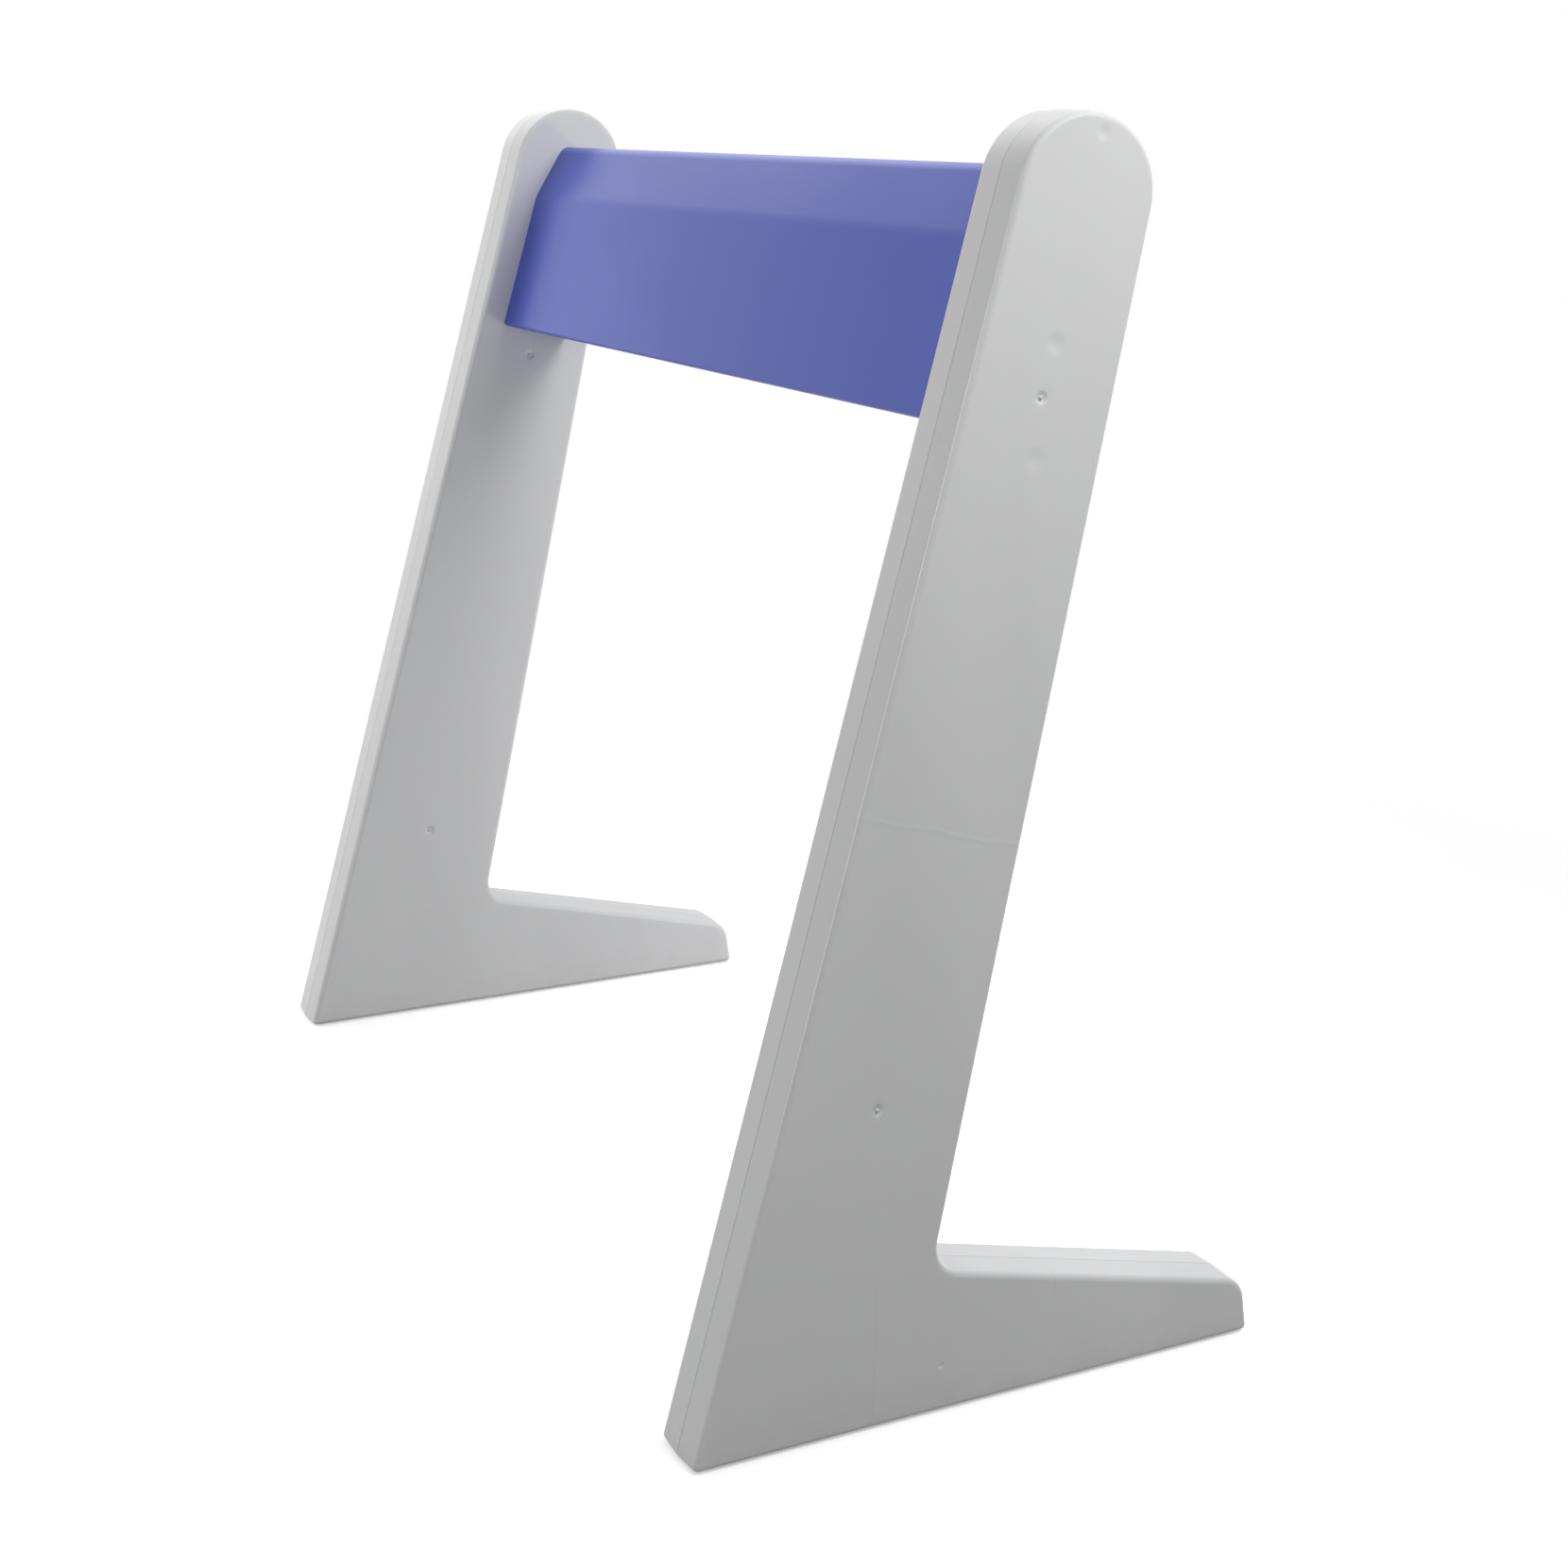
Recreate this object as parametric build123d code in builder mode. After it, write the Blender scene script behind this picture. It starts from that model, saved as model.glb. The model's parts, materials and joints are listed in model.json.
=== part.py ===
from build123d import *
import os
from math import atan, cos, degrees, radians, sin, tan

os.makedirs("parts", exist_ok=True)

# A free-standing barricade: one hollow rail between two L-shaped legs, each leg made of two half shells.
# +X runs along the rail, +Y from the heels to the toes, +Z up. The origin is on the floor, under the middle.
# Side profiles are drawn as (depth from the heel corner, height above the leg's base). Sizes are in mm.

# Driving dimensions: overall
overall_width = 1045.0
leg_height = 1000.0
foot_length = 515.6

# Driving dimensions: leg profile
leg_thickness = 60.0
front_lean = 14.4
back_lean = 11.0
top_radius = 59.5
knee_height = 121.0
knee_radius = 25.0
foot_slope = 13.5
toe_tilt = 9.0
toe_radius = 25.0

# Driving dimensions: leg shells
shell_wall = 3.0
shell_draft = 2.0
edge_radius = 5.0
seam_groove = 0.4
rib_thickness = 2.0
rib_pitch = 92.0
rib_gap = 0.2
rib_root = 0.8

# Driving dimensions: gate marks left by the moulding
gate_radius = 4.3
gate_depth = 0.8
gate_nub_radius = 1.4
outer_low_gate_height = 262.0
inner_low_gate_height = 209.0
outer_gate_rise = 33.0
inner_gate_drop = 25.0

# Driving dimensions: press pins between the two shells of a leg
pin_radius = 3.5
pin_length = 40.0
pin_clearance = 0.05
pin_chamfer = 0.6
hole_end_gap = 0.3
socket_wall = 2.5
top_pin_drop = 38.0
under_rail_pin_drop = 15.0
waist_pin_height = 480.0
ankle_pin_height = 116.0
arch_pin_place = (213.0, 40.0)
toe_pin_setback = 85.6
toe_pin_height = 33.0

# Driving dimensions: rail profile, drawn about its own leaning axis
rail_drop = 240.0
rail_height = 203.0
rail_base_width = 74.5
rail_kink_height = 143.4
rail_kink_width = 61.0
rail_top_width = 22.6
rail_wall = 2.8
rail_edge_radius = 4.0
rail_kink_radius = 35.0
rail_top_radius = 13.0

# Driving dimensions: rail inside
bulkhead_thickness = 2.2
bulkhead_rim = 6.0
bulkhead_count = 5
seam_screw_places = ((131.0, 26.0), (392.0, 26.0), (131.0, 148.0), (392.0, 148.0))
seam_screw_radius = 2.0
seam_screw_length = 22.0
seam_head_radius = 4.0
seam_head_height = 3.0
seam_grip = 8.0
seam_post_radius = 6.5
screw_clearance = 0.05
recess_clearance = 0.4

# Driving dimensions: the joint between rail and leg
end_frame_depth = 16.0
end_frame_rim = 6.0
end_frame_web = 5.0
frame_clearance = 0.15
joint_centre_height = 74.0
bolt_spacing_across = 34.0
bolt_spacing_along = 92.0
bolt_radius = 4.0
bolt_hole_clearance = 0.3
bolt_head_across_flats = 13.0
bolt_head_height = 5.3
bolt_tail = 2.0
bolt_boss_radius = 11.0
nut_height = 6.5
nut_clearance = 0.05
pocket_clearance = 0.15
plate_thickness = 2.5
plate_width = 56.0
plate_length = 118.0
plate_corner = 6.0
plate_clearance = 0.5

# Driving dimensions: pads
pad_width = 40.0
pad_length = 60.0
pad_thickness = 3.0
pad_proud = 1.0
pad_edge_margin = 14.0
pad_clearance = 0.2
pad_corner = 6.0
pad_seat_wall = 3.0

# ---- Leg profile ----
# The upright's front and back lines are tangent to its round top.
top_centre = (
    (leg_height - top_radius) * tan(radians(front_lean)) + top_radius / cos(radians(front_lean)),
    leg_height - top_radius,
)


def on_top(normal_angle):
    """The point of the round top whose outward normal stands at this angle above +Y."""
    angle = radians(normal_angle)
    return (top_centre[0] + top_radius * cos(angle), top_centre[1] + top_radius * sin(angle))


front_tangent = on_top(180 - front_lean)
back_tangent = on_top(-back_lean)
knee = (
    back_tangent[0] - (back_tangent[1] - knee_height) * tan(radians(back_lean)),
    knee_height,
)
toe_height = (knee_height - (foot_length - knee[0]) * tan(radians(foot_slope))) / (
    1 - tan(radians(toe_tilt)) * tan(radians(foot_slope))
)
toe_top = (foot_length - toe_height * tan(radians(toe_tilt)), toe_height)

with BuildSketch() as leg_outline:
    with BuildLine():
        Line((0, 0), front_tangent)
        ThreePointArc(front_tangent, on_top(90), back_tangent)
        Polyline(back_tangent, knee, toe_top, (foot_length, 0), (0, 0))
    make_face()
    fillet(leg_outline.vertices().sort_by_distance(knee)[0], radius=knee_radius)
    fillet(leg_outline.vertices().sort_by_distance(toe_top)[0], radius=toe_radius)

# The outline at the seam: its corners rounded as the outside's are, and set in by the groove's depth.
with BuildSketch() as seam_outline:
    add(leg_outline.sketch)
    fillet(seam_outline.vertices().sort_by_distance((0, 0))[0], radius=edge_radius)
    fillet(seam_outline.vertices().sort_by_distance((foot_length, 0))[0], radius=edge_radius)
    offset(amount=-seam_groove, mode=Mode.REPLACE)

half_thickness = leg_thickness / 2
cavity_depth = half_thickness - shell_wall
parting_x = overall_width / 2 - half_thickness
rail_end_x = overall_width / 2 - leg_thickness
outline_middle = seam_outline.sketch.bounding_box().center().X


def side_plane(x):
    """The plane across the object at x: depth from the heel along +Y, height above the base along +Z."""
    return Plane(origin=(x, -outline_middle, pad_proud), x_dir=(0, 1, 0), z_dir=(1, 0, 0))


def upright_middle(height):
    """The point midway between the upright's front and back lines at this height."""
    front = height * tan(radians(front_lean))
    back = knee[0] + (height - knee_height) * tan(radians(back_lean))
    return ((front + back) / 2, height)


# ---- Rail profile ----
# The rail's axis lies on the upright's middle line, so both lean alike.
rail_base_height = leg_height - rail_drop
rail_foot = upright_middle(rail_base_height)
rail_lean = atan((tan(radians(front_lean)) + tan(radians(back_lean))) / 2)


def rail_plane(x):
    """The plane across the rail at x: from its axis towards the toes, and up the leaning axis."""
    foot = side_plane(x).from_local_coords(rail_foot)
    return Plane(origin=foot, x_dir=(0, cos(rail_lean), -sin(rail_lean)), z_dir=(1, 0, 0))


# The plane that parts the rail's two shells: along the rail, up its axis, and out through the front.
rail_seam = Plane(origin=rail_plane(0).origin, x_dir=(1, 0, 0), z_dir=(0, -cos(rail_lean), sin(rail_lean)))

with BuildSketch() as rail_outline:
    with BuildLine():
        front_line = Polyline(
            (0, 0),
            (-rail_base_width / 2, 0),
            (-rail_kink_width / 2, rail_kink_height),
            (-rail_top_width / 2, rail_height),
            (0, rail_height),
        )
        mirror(front_line, about=Plane.YZ)
    make_face()
    for corner in (
        (rail_base_width / 2, 0, rail_edge_radius),
        (rail_kink_width / 2, rail_kink_height, rail_kink_radius),
        (rail_top_width / 2, rail_height, rail_top_radius),
    ):
        across, up, radius = corner
        for side in (-across, across):
            fillet(rail_outline.vertices().sort_by_distance((side, up))[0], radius=radius)


def joint_plane(x):
    """The rail's plane at x, moved up the rail's axis to the middle of its joint with the leg."""
    plane = rail_plane(x)
    middle = plane.from_local_coords((0, joint_centre_height))
    return Plane(origin=middle, x_dir=plane.x_dir, z_dir=plane.z_dir)


# One press pin passes through the middle of the joint between rail and leg.
pin_places = [
    upright_middle(leg_height - top_pin_drop),
    upright_middle(rail_base_height + joint_centre_height * cos(rail_lean)),
    upright_middle(rail_base_height - under_rail_pin_drop),
    upright_middle(waist_pin_height),
    upright_middle(ankle_pin_height),
    arch_pin_place,
    (foot_length - toe_pin_setback, toe_pin_height),
]
bolt_grid = GridLocations(bolt_spacing_across, bolt_spacing_along, 2, 2)


# ---- Leg shells ----
heel_pad_y = pad_edge_margin + pad_length / 2 - outline_middle
toe_pad_y = outline_middle - pad_edge_margin - pad_length / 2
pad_sink = pad_thickness - pad_proud
socket_radius = pin_radius + pin_clearance
gate_ball = (gate_radius**2 + gate_depth**2) / (2 * gate_depth)
rung_heights = [rung * rib_pitch for rung in range(1, int(leg_height / rib_pitch) + 1)]


def half_shell(gate_heights, carries_rail):
    """One half of a leg, with its parting face at x = 0 and its outside towards +X."""
    with BuildPart() as half:
        # The drafted outside stops short of the parting face, where an inset rim makes the seam's groove.
        with BuildSketch(side_plane(seam_groove)):
            add(leg_outline.sketch)
        extrude(amount=half_thickness - seam_groove, taper=shell_draft)
        for corner in (0, foot_length):
            middle = side_plane(half_thickness / 2).from_local_coords((corner, 0))
            fillet(half.edges().sort_by_distance(middle)[0], radius=edge_radius)
        fillet(half.faces().sort_by(Axis.X)[-1].edges(), radius=edge_radius)
        with BuildSketch(side_plane(0)):
            add(seam_outline.sketch)
        extrude(amount=seam_groove)

        # The cavity has the same draft.
        with BuildSketch(side_plane(0)):
            offset(leg_outline.sketch, amount=-shell_wall, kind=Kind.INTERSECTION)
        extrude(amount=cavity_depth, taper=shell_draft, mode=Mode.SUBTRACT)

        # Ribs: rungs up the leg, a spine along the upright and another along the foot.
        with BuildSketch(side_plane(rib_gap)):
            with Locations(*[(0, height) for height in rung_heights]):
                Rectangle(2 * foot_length, rib_thickness)
            with Locations(rail_foot):
                Rectangle(rib_thickness, 2 * leg_height, rotation=-degrees(rail_lean))
            with Locations((0, toe_height * 2 / 3)):
                Rectangle(2 * foot_length, rib_thickness)
            offset(
                leg_outline.sketch,
                amount=-rib_root * shell_wall,
                kind=Kind.INTERSECTION,
                mode=Mode.INTERSECT,
            )
        extrude(amount=cavity_depth)

        # The joint with the rail: a flat bed for the clamp plate, and the holes for its bolts.
        if carries_rail:
            with BuildSketch(joint_plane(0)):
                RectangleRounded(
                    plate_width + 2 * plate_clearance,
                    plate_length + 2 * plate_clearance,
                    plate_corner + plate_clearance,
                )
            extrude(amount=cavity_depth, mode=Mode.SUBTRACT)
            with BuildSketch(joint_plane(cavity_depth)):
                with bolt_grid:
                    Circle(bolt_radius + bolt_hole_clearance)
            extrude(amount=shell_wall, mode=Mode.SUBTRACT)

        # Sockets for the press pins.
        with BuildSketch(side_plane(rib_gap)):
            with Locations(*pin_places):
                Circle(socket_radius + socket_wall)
        extrude(amount=cavity_depth)
        with BuildSketch(side_plane(0)):
            with Locations(*pin_places):
                Circle(socket_radius)
        extrude(amount=pin_length / 2 + hole_end_gap, mode=Mode.SUBTRACT)

        # Seats for the pads, sunk into the base under a thicker floor.
        for pad_y in (heel_pad_y, toe_pad_y):
            with BuildSketch(Plane.XY.offset(pad_proud + shell_wall / 2)):
                with Locations((0, pad_y)):
                    Rectangle(pad_width + 2 * pad_seat_wall, pad_length + 2 * pad_seat_wall)
            extrude(amount=pad_sink + pad_seat_wall - shell_wall / 2)
            with BuildSketch():
                with Locations((0, pad_y)):
                    RectangleRounded(
                        pad_width + 2 * pad_clearance,
                        pad_length + 2 * pad_clearance,
                        pad_corner + pad_clearance,
                    )
            extrude(amount=pad_thickness, mode=Mode.SUBTRACT)

        # Gate marks: a shallow dish with a rounded nub that stands level with the face.
        for height in gate_heights:
            place = upright_middle(height)
            with Locations(side_plane(half_thickness - gate_depth + gate_ball).from_local_coords(place)):
                Sphere(gate_ball, rotation=(0, 90, 0), mode=Mode.SUBTRACT)
            with Locations(side_plane(half_thickness - gate_nub_radius).from_local_coords(place)):
                Sphere(gate_nub_radius, rotation=(0, 90, 0))

        split(bisect_by=Plane.YZ, keep=Keep.TOP)
    return half.part


outer_gate_heights = (rail_base_height + outer_gate_rise, outer_low_gate_height)
inner_gate_heights = (rail_base_height - inner_gate_drop, inner_low_gate_height)
outer_half = half_shell(outer_gate_heights, carries_rail=False)
inner_half = half_shell(inner_gate_heights, carries_rail=True)

with BuildPart() as right_leg_outer_shell:
    with Locations((parting_x, 0, 0)):
        add(outer_half)

with BuildPart() as right_leg_inner_shell:
    with Locations((parting_x, 0, 0)):
        add(mirror(inner_half, about=Plane.YZ, mode=Mode.PRIVATE))

with BuildPart() as left_leg_outer_shell:
    mirror(right_leg_outer_shell.part, about=Plane.YZ)

with BuildPart() as left_leg_inner_shell:
    mirror(right_leg_inner_shell.part, about=Plane.YZ)

# ---- Press pins between the shells of a leg ----
with BuildPart() as right_leg_pins:
    with BuildSketch(side_plane(parting_x - pin_length / 2)):
        with Locations(*pin_places):
            Circle(pin_radius)
    extrude(amount=pin_length)
    chamfer(right_leg_pins.edges().filter_by(GeomType.CIRCLE), length=pin_chamfer)

with BuildPart() as left_leg_pins:
    mirror(right_leg_pins.part, about=Plane.YZ)


# ---- Rail shells ----
screw_places = [(side * x, height) for side in (-1, 1) for x, height in seam_screw_places]
screw_hole_radius = seam_screw_radius + screw_clearance
bulkhead_reach = rail_end_x - end_frame_depth - frame_clearance - bulkhead_thickness
bulkhead_pitch = 2 * bulkhead_reach / (bulkhead_count - 1)

with BuildPart() as rail_body:
    # Posts for the screws, and open bulkheads, trimmed to the middle of the rail's wall.
    with BuildSketch(rail_seam.offset(-rail_base_width)):
        with Locations(*screw_places):
            Circle(seam_post_radius)
    extrude(amount=2 * rail_base_width)
    for number in range(bulkhead_count):
        with BuildSketch(rail_plane(number * bulkhead_pitch - bulkhead_reach)):
            add(rail_outline.sketch)
            offset(rail_outline.sketch, amount=-rail_wall - bulkhead_rim, mode=Mode.SUBTRACT)
        extrude(amount=bulkhead_thickness / 2, both=True)
    with BuildSketch(rail_plane(0)):
        offset(rail_outline.sketch, amount=-rail_wall / 2)
    extrude(amount=rail_end_x, both=True, mode=Mode.INTERSECT)

    # The wall itself.
    with BuildSketch(rail_plane(0)):
        add(rail_outline.sketch)
        offset(rail_outline.sketch, amount=-rail_wall, mode=Mode.SUBTRACT)
    extrude(amount=rail_end_x, both=True)

    # The screws' pilot holes in front of the seam, and the recesses of their heads behind it.
    with BuildSketch(rail_seam.offset(-rail_base_width)):
        with Locations(*screw_places):
            Circle(seam_head_radius + recess_clearance)
    extrude(amount=rail_base_width - seam_grip, mode=Mode.SUBTRACT)
    with BuildSketch(rail_seam.offset(-seam_grip)):
        with Locations(*screw_places):
            Circle(screw_hole_radius)
    extrude(amount=seam_screw_length + hole_end_gap, mode=Mode.SUBTRACT)

with BuildPart() as rail_front_shell:
    add(rail_body.part)
    split(bisect_by=rail_seam, keep=Keep.TOP)

with BuildPart() as rail_back_shell:
    add(rail_body.part)
    split(bisect_by=rail_seam, keep=Keep.BOTTOM)

with BuildPart() as rail_seam_screws:
    with BuildSketch(rail_seam.offset(-seam_grip)):
        with Locations(*screw_places):
            Circle(seam_screw_radius)
    extrude(amount=seam_screw_length)
    with BuildSketch(rail_seam.offset(-seam_grip)):
        with Locations(*screw_places):
            Circle(seam_head_radius)
    extrude(amount=-seam_head_height)

# ---- The joint between rail and leg ----
frame_inset = rail_wall + frame_clearance
frame_face_x = rail_end_x - end_frame_depth
bolt_head_x = rail_end_x + shell_wall + plate_thickness

with BuildPart() as right_rail_end_frame:
    with BuildSketch(rail_plane(frame_face_x)):
        offset(rail_outline.sketch, amount=-frame_inset)
    extrude(amount=end_frame_depth)
    with BuildSketch(rail_plane(frame_face_x)):
        offset(rail_outline.sketch, amount=-frame_inset - end_frame_rim)
        with Locations((0, joint_centre_height)):
            with bolt_grid:
                Circle(bolt_boss_radius, mode=Mode.SUBTRACT)
    extrude(amount=end_frame_depth - end_frame_web, mode=Mode.SUBTRACT)
    with BuildSketch(joint_plane(frame_face_x)):
        with bolt_grid:
            Circle(bolt_radius + bolt_hole_clearance)
    extrude(amount=end_frame_depth, mode=Mode.SUBTRACT)
    with BuildSketch(joint_plane(frame_face_x)):
        with bolt_grid:
            RegularPolygon(bolt_head_across_flats / 2 + pocket_clearance, side_count=6, major_radius=False)
    extrude(amount=nut_height, mode=Mode.SUBTRACT)

with BuildPart() as right_rail_nuts:
    with BuildSketch(joint_plane(frame_face_x)):
        with bolt_grid:
            RegularPolygon(bolt_head_across_flats / 2, side_count=6, major_radius=False)
            Circle(bolt_radius + nut_clearance, mode=Mode.SUBTRACT)
    extrude(amount=nut_height)

with BuildPart() as right_clamp_plate:
    with BuildSketch(joint_plane(rail_end_x + shell_wall)):
        RectangleRounded(plate_width, plate_length, plate_corner)
        with bolt_grid:
            Circle(bolt_radius + bolt_hole_clearance, mode=Mode.SUBTRACT)
        Circle(socket_radius + socket_wall + plate_clearance, mode=Mode.SUBTRACT)
    extrude(amount=plate_thickness)

with BuildPart() as right_rail_bolts:
    with BuildSketch(joint_plane(bolt_head_x)):
        with bolt_grid:
            Circle(bolt_radius)
    extrude(amount=frame_face_x - bolt_tail - bolt_head_x)
    with BuildSketch(joint_plane(bolt_head_x)):
        with bolt_grid:
            RegularPolygon(bolt_head_across_flats / 2, side_count=6, major_radius=False)
    extrude(amount=bolt_head_height)

with BuildPart() as left_rail_end_frame:
    mirror(right_rail_end_frame.part, about=Plane.YZ)

with BuildPart() as left_rail_nuts:
    mirror(right_rail_nuts.part, about=Plane.YZ)

with BuildPart() as left_clamp_plate:
    mirror(right_clamp_plate.part, about=Plane.YZ)

with BuildPart() as left_rail_bolts:
    mirror(right_rail_bolts.part, about=Plane.YZ)


# ---- Pads ----
def pad(x, y):
    """A rubber pad whose face is on the floor and whose back is let into a leg's base."""
    with BuildPart() as block:
        with BuildSketch():
            with Locations((x, y)):
                RectangleRounded(pad_width, pad_length, pad_corner)
        extrude(amount=pad_thickness)
    return block.part


with BuildPart() as right_heel_pad:
    add(pad(parting_x, heel_pad_y))

with BuildPart() as right_toe_pad:
    add(pad(parting_x, toe_pad_y))

with BuildPart() as left_heel_pad:
    add(pad(-parting_x, heel_pad_y))

with BuildPart() as left_toe_pad:
    add(pad(-parting_x, toe_pad_y))

# ---- Hand over ----
pieces = {
    "right_leg_outer_shell": right_leg_outer_shell,
    "right_leg_inner_shell": right_leg_inner_shell,
    "left_leg_outer_shell": left_leg_outer_shell,
    "left_leg_inner_shell": left_leg_inner_shell,
    "right_leg_pins": right_leg_pins,
    "left_leg_pins": left_leg_pins,
    "rail_front_shell": rail_front_shell,
    "rail_back_shell": rail_back_shell,
    "rail_seam_screws": rail_seam_screws,
    "right_rail_end_frame": right_rail_end_frame,
    "left_rail_end_frame": left_rail_end_frame,
    "right_rail_nuts": right_rail_nuts,
    "left_rail_nuts": left_rail_nuts,
    "right_clamp_plate": right_clamp_plate,
    "left_clamp_plate": left_clamp_plate,
    "right_rail_bolts": right_rail_bolts,
    "left_rail_bolts": left_rail_bolts,
    "right_heel_pad": right_heel_pad,
    "right_toe_pad": right_toe_pad,
    "left_heel_pad": left_heel_pad,
    "left_toe_pad": left_toe_pad,
}
for name, piece in pieces.items():
    piece.part.label = name
    export_step(piece.part, f"parts/{name}.step")
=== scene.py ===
# %% [markdown]
# # A one-rail barricade in moulded plastic
# A blue rail hangs between two L-shaped grey legs. Each leg is two moulded half shells that meet on a seam,
# and the rail is two shells as well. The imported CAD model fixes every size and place. This lesson gives the
# visible shells their soft moulded shape, and gives every piece its finish.

# %% Load the frame
import json
import math

import bmesh
import bpy
from mathutils import Matrix, Vector

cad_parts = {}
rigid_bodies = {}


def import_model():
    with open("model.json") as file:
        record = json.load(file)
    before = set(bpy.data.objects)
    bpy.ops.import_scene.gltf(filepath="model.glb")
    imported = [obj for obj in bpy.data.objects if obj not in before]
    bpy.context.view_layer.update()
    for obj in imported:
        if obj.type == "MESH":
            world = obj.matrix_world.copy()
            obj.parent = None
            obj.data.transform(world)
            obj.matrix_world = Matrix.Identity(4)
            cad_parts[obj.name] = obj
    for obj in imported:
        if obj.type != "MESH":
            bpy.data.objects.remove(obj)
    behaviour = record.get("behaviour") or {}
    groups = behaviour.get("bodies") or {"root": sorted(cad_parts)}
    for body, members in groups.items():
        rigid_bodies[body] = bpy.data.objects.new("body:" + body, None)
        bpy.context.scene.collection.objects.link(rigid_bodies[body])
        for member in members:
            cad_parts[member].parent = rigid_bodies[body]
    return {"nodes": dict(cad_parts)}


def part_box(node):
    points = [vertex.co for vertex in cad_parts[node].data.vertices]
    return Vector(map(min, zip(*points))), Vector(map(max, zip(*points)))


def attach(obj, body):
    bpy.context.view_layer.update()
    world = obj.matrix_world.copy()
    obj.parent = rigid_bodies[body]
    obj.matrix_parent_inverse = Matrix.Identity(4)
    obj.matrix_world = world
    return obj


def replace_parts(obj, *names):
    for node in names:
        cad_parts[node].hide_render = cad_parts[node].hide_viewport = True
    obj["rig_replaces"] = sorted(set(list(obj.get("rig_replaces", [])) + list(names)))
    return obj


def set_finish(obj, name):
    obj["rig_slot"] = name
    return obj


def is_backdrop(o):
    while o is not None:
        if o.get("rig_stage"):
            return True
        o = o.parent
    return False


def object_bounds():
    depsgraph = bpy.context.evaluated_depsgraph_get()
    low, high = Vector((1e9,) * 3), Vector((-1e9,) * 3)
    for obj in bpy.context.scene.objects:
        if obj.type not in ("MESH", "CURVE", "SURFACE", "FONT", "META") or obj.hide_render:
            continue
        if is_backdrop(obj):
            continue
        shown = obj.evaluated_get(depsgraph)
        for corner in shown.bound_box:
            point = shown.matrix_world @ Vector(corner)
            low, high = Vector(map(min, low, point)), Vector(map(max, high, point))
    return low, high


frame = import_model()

cad_low, cad_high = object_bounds()
print("CAD box:", [round(v, 4) for v in cad_low], [round(v, 4) for v in cad_high])

# %% [markdown]
# ## Camera
# The barricade is seen from its right, a little in front, from as high as its own top. A tall object seen
# level from there would need a large lens shift, and a shift also moves the object in every other view. So
# the camera tips down instead, and keeps only the small shift that the other views have room for.

# %% Camera
view_distance = 2.175    # along the floor, from the middle of the object
view_side = 64.2         # degrees round from the front, towards the right leg
view_height = 0.979
aim_turn, aim_drop, aim_roll = 62.43, 11.07, 1.2
lens_shift = -0.12
lens_mm, sensor_mm = 54.23, 36.0

side = math.radians(view_side)
camera = bpy.data.objects.new("Camera", bpy.data.cameras.new("Camera"))
bpy.context.scene.collection.objects.link(camera)
camera.data.sensor_width = sensor_mm
camera.data.lens = lens_mm
camera.data.shift_y = lens_shift
camera.data.clip_end = 100.0
camera.matrix_world = (
    Matrix.Translation((view_distance * math.sin(side), -view_distance * math.cos(side), view_height))
    @ Matrix.Rotation(math.radians(aim_turn), 4, "Z")
    @ Matrix.Rotation(math.radians(90 - aim_drop), 4, "X")
    @ Matrix.Rotation(math.radians(aim_roll), 4, "Z")
)
bpy.context.scene.camera = camera
print("camera at", [round(v, 3) for v in camera.matrix_world.translation])

# %% [markdown]
# ## World, lamps and floor
# The light is a plain studio: a soft even world and softboxes all round. One hangs close above the right
# leg, so that the leg's outer face darkens towards its foot. Four of them show in shiny surfaces. Two of
# those only shine and light nothing: a strip that puts a fine bright line on the rounded edges, and a faint
# haze. A tall panel on the left gives the rail most of its sheen. The camera and shiny surfaces see a white
# backdrop, but that white never lights the object. Light Path tells those rays from the others. The floor is
# a matt white sheet that keeps the soft shadow near the object and turns to the backdrop's white further
# out, so that no horizon shows. The rays that light the object find it a darker grey.

# %% Helper: rays that are seen
def seen_rays(tree, kinds):
    """A value that is 1 for rays of these kinds and 0 for the rest."""
    path = tree.nodes.new("ShaderNodeLightPath")
    value = path.outputs[kinds[0]]
    for kind in kinds[1:]:
        either = tree.nodes.new("ShaderNodeMath")
        either.operation = "MAXIMUM"
        tree.links.new(value, either.inputs[0])
        tree.links.new(path.outputs[kind], either.inputs[1])
        value = either.outputs[0]
    return value


# %% World
world = bpy.data.worlds.new("Studio")
bpy.context.scene.world = world
world.use_nodes = True
nodes, links = world.node_tree.nodes, world.node_tree.links
nodes.clear()
fill_light = 0.28
seen = nodes.new("ShaderNodeBackground")
seen.inputs["Color"].default_value = (1, 1, 1, 1)
seen.inputs["Strength"].default_value = 1.0
lit = nodes.new("ShaderNodeBackground")
lit.inputs["Color"].default_value = (0.97, 0.985, 1.0, 1)
lit.inputs["Strength"].default_value = fill_light
pick = nodes.new("ShaderNodeMixShader")
out = nodes.new("ShaderNodeOutputWorld")
clear_rays = ("Is Camera Ray", "Is Glossy Ray", "Is Transmission Ray")
links.new(seen_rays(world.node_tree, clear_rays), pick.inputs["Fac"])
links.new(lit.outputs[0], pick.inputs[1])
links.new(seen.outputs[0], pick.inputs[2])
links.new(pick.outputs[0], out.inputs["Surface"])

# %% Lamps
def softbox(name, place, aim, width, height, watts, lights=True, mirrored=False):
    """An area lamp that faces a point. It lights matt surfaces, shows in shiny ones, or does both."""
    lamp = bpy.data.lights.new(name, "AREA")
    lamp.shape = "RECTANGLE"
    lamp.size, lamp.size_y = width, height
    lamp.energy = watts
    holder = bpy.data.objects.new(name, lamp)
    bpy.context.scene.collection.objects.link(holder)
    holder.location = place
    holder.visible_camera = False
    holder.visible_diffuse = lights
    holder.visible_glossy = mirrored
    holder.rotation_euler = (Vector(aim) - Vector(place)).to_track_quat("-Z", "Y").to_euler()


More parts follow.
